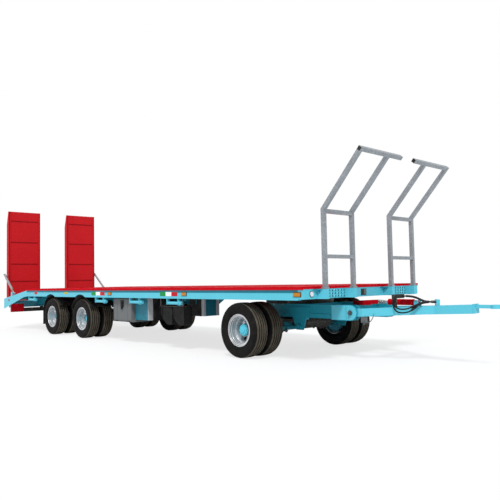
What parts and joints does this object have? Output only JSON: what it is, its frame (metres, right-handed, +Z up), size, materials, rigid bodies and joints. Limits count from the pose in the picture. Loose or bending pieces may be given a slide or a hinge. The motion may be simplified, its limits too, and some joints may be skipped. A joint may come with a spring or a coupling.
{
  "type": "platform trailer",
  "caption": "Flat platform trailer with a turntable steered dolly and A-frame drawbar, twin wheels on a tandem bogie, sloping tail with hinged loading ramps and leaning front ladders",
  "frame": {"origin": "centre of the bounding box at ground level", "axes": "+X forward to the towing eye, +Y to the trailer's left, +Z up"},
  "size_m": [11.64, 2.55, 2.85],
  "materials": {
    "black_plastic": "black moulded plastic",
    "black_steel": "black chassis paint",
    "chrome_rod": "chromed rod",
    "deck_paint": "red gloss paint",
    "frame_paint": "sky blue gloss paint",
    "galvanised": "hot dip galvanised",
    "grey_plastic": "grey moulded plastic",
    "hose_rubber": "black hose",
    "hub_paint": "sky blue gloss paint",
    "lamp_board": "red paint with lenses behind",
    "plug_steel": "zinc plated",
    "ramp_paint": "red gloss paint",
    "strut_steel": "grey paint",
    "tyre_rubber": "worn black tyre rubber",
    "wheel_steel": "silver paint"
  },
  "bodies": {
    "chassis": {"main_beams": "frame_paint", "cross_members": "frame_paint", "side_rails": "frame_paint", "front_beam": "frame_paint", "deck_floor": "deck_paint", "tail_floor": "deck_paint", "tail_beam": "frame_paint", "underrun_bar": "frame_paint", "rear_lamps": "lamp_board", "ladders": "galvanised", "turntable_upper": "black_steel", "toolbox": "grey_plastic", "lockers": "frame_paint", "wheel_chocks": "black_plastic", "rail_fittings": "frame_paint", "bogie_hangers": "frame_paint", "bogie_springs": "black_steel", "rear_axles": "frame_paint", "mudguards": "black_plastic"},
    "dolly": {"dolly_frame": "frame_paint", "turntable_lower": "black_steel", "dolly_hangers": "frame_paint", "dolly_springs": "black_steel", "front_axle": "frame_paint", "lift_bracket": "deck_paint"},
    "drawbar": {"drawbar_frame": "frame_paint", "towing_eye": "plug_steel", "hose_stand": "black_steel", "hose_park": "black_steel", "hose_plugs": "plug_steel", "hose_upper": "hose_rubber", "hose_loop_long": "hose_rubber", "hose_loop_short": "hose_rubber"},
    "lift_barrel": {"lift_barrel": "deck_paint"},
    "lift_rod": {"lift_rod": "chrome_rod"},
    "ramp_right": {"ramp_right": "ramp_paint"},
    "strut_barrel_right": {"strut_barrel_right": "strut_steel"},
    "strut_rod_right": {"strut_rod_right": "chrome_rod"},
    "ramp_left": {"ramp_left": "ramp_paint"},
    "strut_barrel_left": {"strut_barrel_left": "strut_steel"},
    "strut_rod_left": {"strut_rod_left": "chrome_rod"},
    "wheels_front_right": {"tyres_front_right": "tyre_rubber", "rims_front_right": "wheel_steel", "hub_front_right": "hub_paint"},
    "wheels_front_left": {"tyres_front_left": "tyre_rubber", "rims_front_left": "wheel_steel", "hub_front_left": "hub_paint"},
    "wheels_mid_right": {"tyres_mid_right": "tyre_rubber", "rims_mid_right": "wheel_steel", "hub_mid_right": "hub_paint"},
    "wheels_mid_left": {"tyres_mid_left": "tyre_rubber", "rims_mid_left": "wheel_steel", "hub_mid_left": "hub_paint"},
    "wheels_rear_right": {"tyres_rear_right": "tyre_rubber", "rims_rear_right": "wheel_steel", "hub_rear_right": "hub_paint"},
    "wheels_rear_left": {"tyres_rear_left": "tyre_rubber", "rims_rear_left": "wheel_steel", "hub_rear_left": "hub_paint"}
  },
  "joints": [
    {"name": "steer", "type": "hinge", "parent": "chassis", "child": "dolly", "pos_m": [2.822, 0, 0.74], "axis": [0, 0, 1], "range_deg": [-90, 90]},
    {"name": "drawbar_pitch", "type": "hinge", "parent": "dolly", "child": "drawbar", "pos_m": [4.095, 0, 0.6], "axis": [0, -1, 0], "range_deg": [-20, 30]},
    {"name": "lift_swing", "type": "hinge", "parent": "drawbar", "child": "lift_barrel", "pos_m": [4.785, 0, 0.725], "axis": [0, -1, 0], "range_deg": [-4.3, 6.4]},
    {"name": "lift_stroke", "type": "slide", "parent": "lift_barrel", "child": "lift_rod", "axis": [-1, 0, 0.0051], "range_m": [-0.058, 0.039]},
    {"name": "ramp_hinge_right", "type": "hinge", "parent": "chassis", "child": "ramp_right", "pos_m": [-5.785, -0.749, 0.605], "axis": [0, -1, 0], "range_deg": [0, 106.5]},
    {"name": "strut_swing_right", "type": "hinge", "parent": "ramp_right", "child": "strut_barrel_right", "pos_m": [-5.755, -1.2, 1.27], "axis": [0, -1, 0], "range_deg": [-53, 0]},
    {"name": "strut_stroke_right", "type": "slide", "parent": "strut_barrel_right", "child": "strut_rod_right", "axis": [0.809, 0, -0.5878], "range_m": [0, 0.601]},
    {"name": "ramp_hinge_left", "type": "hinge", "parent": "chassis", "child": "ramp_left", "pos_m": [-5.785, 0.749, 0.605], "axis": [0, -1, 0], "range_deg": [0, 106.5]},
    {"name": "strut_swing_left", "type": "hinge", "parent": "ramp_left", "child": "strut_barrel_left", "pos_m": [-5.755, 1.2, 1.27], "axis": [0, -1, 0], "range_deg": [-53, 0]},
    {"name": "strut_stroke_left", "type": "slide", "parent": "strut_barrel_left", "child": "strut_rod_left", "axis": [0.809, 0, -0.5878], "range_m": [0, 0.601]},
    {"name": "spin_front_right", "type": "hinge", "parent": "dolly", "child": "wheels_front_right", "pos_m": [2.822, -0.995, 0.372], "axis": [0, 1, 0], "continuous": true},
    {"name": "spin_front_left", "type": "hinge", "parent": "dolly", "child": "wheels_front_left", "pos_m": [2.822, 0.995, 0.372], "axis": [0, 1, 0], "continuous": true},
    {"name": "spin_mid_right", "type": "hinge", "parent": "chassis", "child": "wheels_mid_right", "pos_m": [-1.7, -0.995, 0.372], "axis": [0, 1, 0], "continuous": true},
    {"name": "spin_mid_left", "type": "hinge", "parent": "chassis", "child": "wheels_mid_left", "pos_m": [-1.7, 0.995, 0.372], "axis": [0, 1, 0], "continuous": true},
    {"name": "spin_rear_right", "type": "hinge", "parent": "chassis", "child": "wheels_rear_right", "pos_m": [-3.02, -0.995, 0.372], "axis": [0, 1, 0], "continuous": true},
    {"name": "spin_rear_left", "type": "hinge", "parent": "chassis", "child": "wheels_rear_left", "pos_m": [-3.02, 0.995, 0.372], "axis": [0, 1, 0], "continuous": true}
  ],
  "couplings": [
    {"joint": "lift_swing", "follows": "drawbar_pitch", "ratio": 0.21032},
    {"joint": "lift_stroke", "follows": "drawbar_pitch", "m_per_rad": -0.10863},
    {"joint": "strut_swing_right", "follows": "ramp_hinge_right", "ratio": -0.49671},
    {"joint": "strut_stroke_right", "follows": "ramp_hinge_right", "m_per_rad": 0.32279},
    {"joint": "strut_swing_left", "follows": "ramp_hinge_left", "ratio": -0.49671},
    {"joint": "strut_stroke_left", "follows": "ramp_hinge_left", "m_per_rad": 0.32279}
  ]
}
